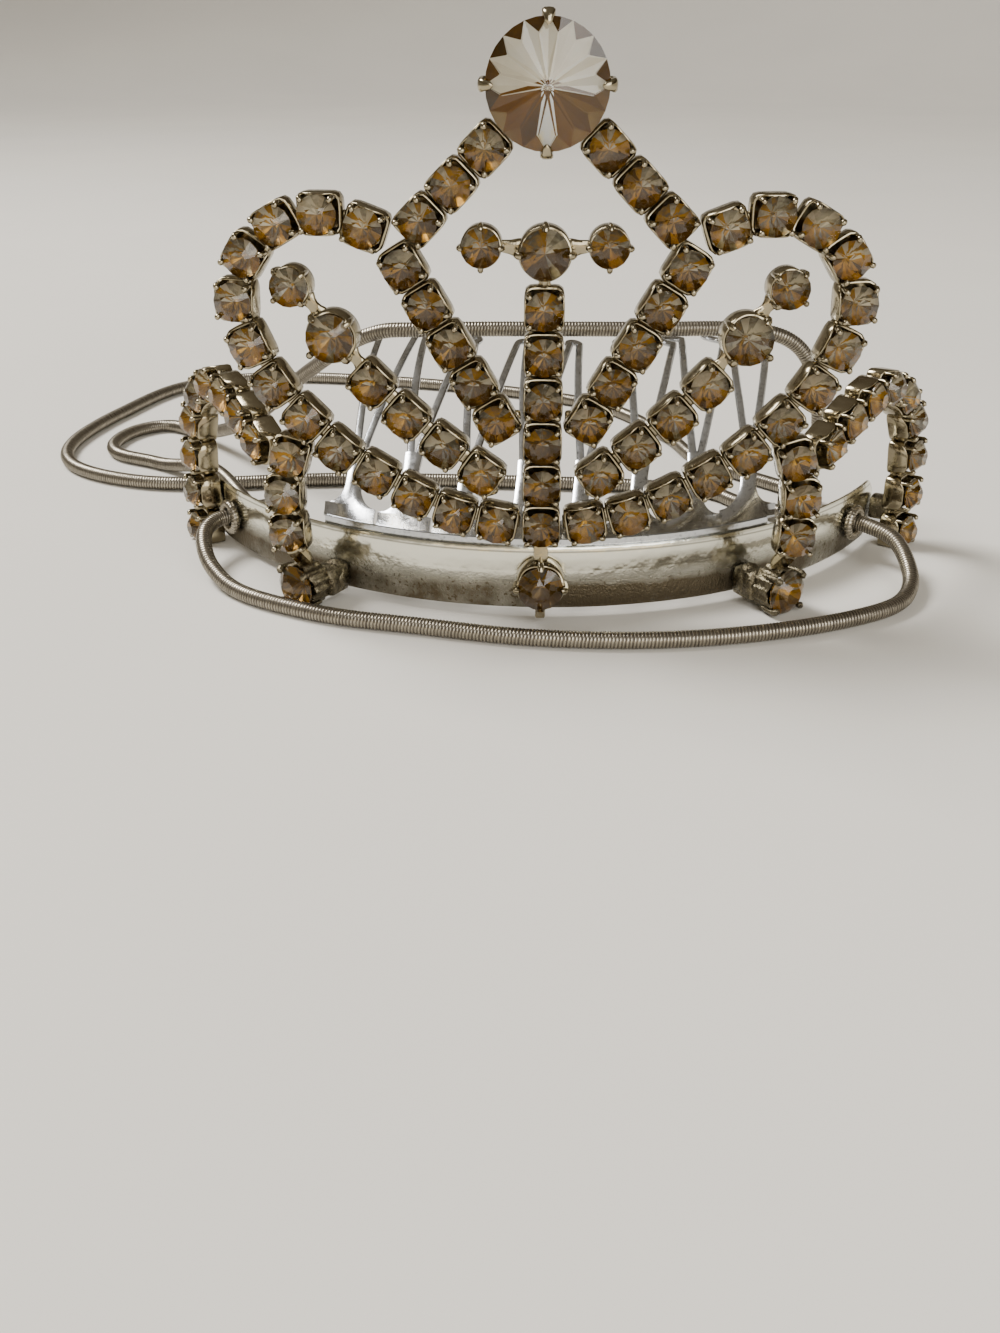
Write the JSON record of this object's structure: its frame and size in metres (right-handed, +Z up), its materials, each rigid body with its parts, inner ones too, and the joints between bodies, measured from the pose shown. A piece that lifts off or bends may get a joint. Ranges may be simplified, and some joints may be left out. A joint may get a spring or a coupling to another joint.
{
  "type": "mini tiara",
  "caption": "Mini tiara of silver-coloured metal: hearts of square cup chain with round stones, a comb behind and an elastic cord.",
  "frame": {"origin": "under the middle of the metalwork, on the surface it stands on", "axes": "+Z up, -Y to the front (the side with the stones), +X to the right seen from the front"},
  "size_m": [0.1178, 0.1089, 0.0605],
  "materials": {
    "band_metal": "satin silver plating, grainy towards the lower edge",
    "comb_metal": "bright silver plating with fine speckles",
    "cup_metal": "polished silver plating, dark in the joints",
    "main_stone_glass": "faceted foiled glass, smoky brown",
    "stone_glass": "faceted foiled glass, smoky amber",
    "cord_metal": "elastic cord wrapped in fine silver-coloured strip"
  },
  "bodies": {
    "root": {"band": "band_metal", "comb": "comb_metal", "main_setting": "cup_metal", "main_stone": "main_stone_glass", "peak_left": "cup_metal", "peak_right": "cup_metal", "arm_left": "cup_metal", "arm_right": "cup_metal", "heart_left": "cup_metal", "heart_right": "cup_metal", "ray_left": "cup_metal", "ray_right": "cup_metal", "column": "cup_metal", "post_left": "cup_metal", "post_right": "cup_metal", "arch_left": "cup_metal", "arch_right": "cup_metal", "cross_stone": "stone_glass", "ray_stone_left": "stone_glass", "ray_stone_right": "stone_glass", "front_stone": "stone_glass", "post_stone_left": "stone_glass", "post_stone_right": "stone_glass", "cord_front": "cord_metal", "cord_rear": "cord_metal", "knot_left": "cord_metal", "knot_right": "cord_metal"}
  },
  "joints": []
}
